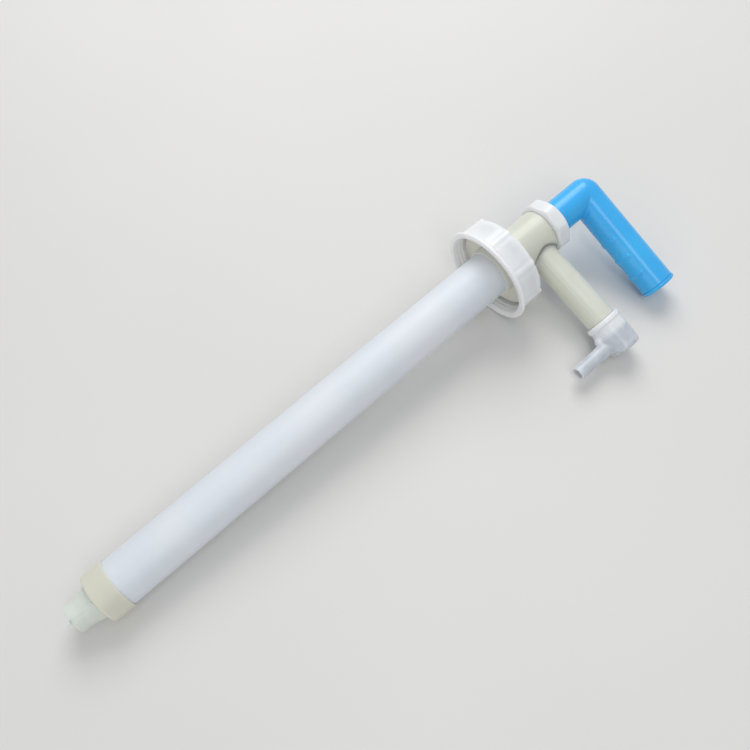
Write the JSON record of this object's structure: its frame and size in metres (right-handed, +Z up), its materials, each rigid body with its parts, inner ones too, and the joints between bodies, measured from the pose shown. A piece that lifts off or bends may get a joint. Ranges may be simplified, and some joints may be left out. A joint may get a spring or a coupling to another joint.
{
  "type": "hand drum pump",
  "caption": "Plastic lift pump for canisters: barrel with foot valve, octagonal union nut, side spout with swivelling nozzle elbow, pulled by an L-shaped handle.",
  "frame": {"origin": "on the surface that the pump lies on, under the middle of its box", "axes": "+X along the pump from its foot to its handle, +Z up from that surface, spout towards -Y; the pump's axis rises 3.3 degrees towards the handle, because it lies on its drum nut and its foot collar"},
  "size_m": [0.4464, 0.1338, 0.0703],
  "materials": {
    "head_cream": "satin",
    "barrel_white": "satin",
    "natural_white": "satin",
    "milky_clear": "gloss",
    "spigot_clear": "gloss",
    "handle_blue": "gloss",
    "seal_rubber": "matt",
    "inner_plastic": "satin",
    "valve_steel": "polished"
  },
  "bodies": {
    "pump": {"suction_spigot": "spigot_clear", "foot_collar": "head_cream", "foot_seal_ring": "seal_rubber", "foot_ball_cage": "inner_plastic", "barrel_tube": "barrel_white", "barrel_socket": "head_cream", "seat_flange": "head_cream", "neck_gasket": "inner_plastic", "pump_head": "head_cream", "gland_guide_bush": "inner_plastic", "gland_rod_seal": "seal_rubber", "gland_washer": "inner_plastic", "gland_nut": "natural_white"},
    "foot_ball": {"foot_valve_ball": "valve_steel"},
    "union_nut": {"drum_nut": "natural_white"},
    "nozzle": {"nozzle_elbow": "milky_clear"},
    "cup": {"piston_cup_seal": "seal_rubber"},
    "plunger": {"piston_body": "inner_plastic", "piston_ball_pin": "valve_steel", "piston_seal_nut": "inner_plastic", "rod_end_plug": "inner_plastic", "plunger_rod": "inner_plastic", "stroke_sleeve": "inner_plastic", "handle": "handle_blue", "grip_end_plug": "handle_blue"},
    "piston_ball": {"piston_valve_ball": "valve_steel"}
  },
  "joints": [
    {"name": "plunger_slide", "type": "slide", "parent": "pump", "child": "cup", "axis": [0.9983, 0, 0.0577], "range_m": [0, 0.28]},
    {"name": "plunger_turn", "type": "hinge", "parent": "cup", "child": "plunger", "pos_m": [0.20917, 0.03169, 0.04067], "axis": [0.9983, 0, 0.0577], "continuous": true},
    {"name": "drum_nut_turn", "type": "hinge", "parent": "pump", "child": "union_nut", "pos_m": [0.11303, 0.03169, 0.03512], "axis": [0.9983, 0, 0.0577], "continuous": true},
    {"name": "nozzle_swivel", "type": "hinge", "parent": "pump", "child": "nozzle", "pos_m": [0.15645, -0.05502, 0.01344], "axis": [0.0155, -0.9634, -0.2678], "continuous": true},
    {"name": "foot_valve_lift", "type": "slide", "parent": "pump", "child": "foot_ball", "axis": [0.9983, 0, 0.0577], "range_m": [0, 0.004]},
    {"name": "piston_valve_lift", "type": "slide", "parent": "plunger", "child": "piston_ball", "axis": [0.9983, 0, 0.0577], "range_m": [0, 0.004]}
  ]
}
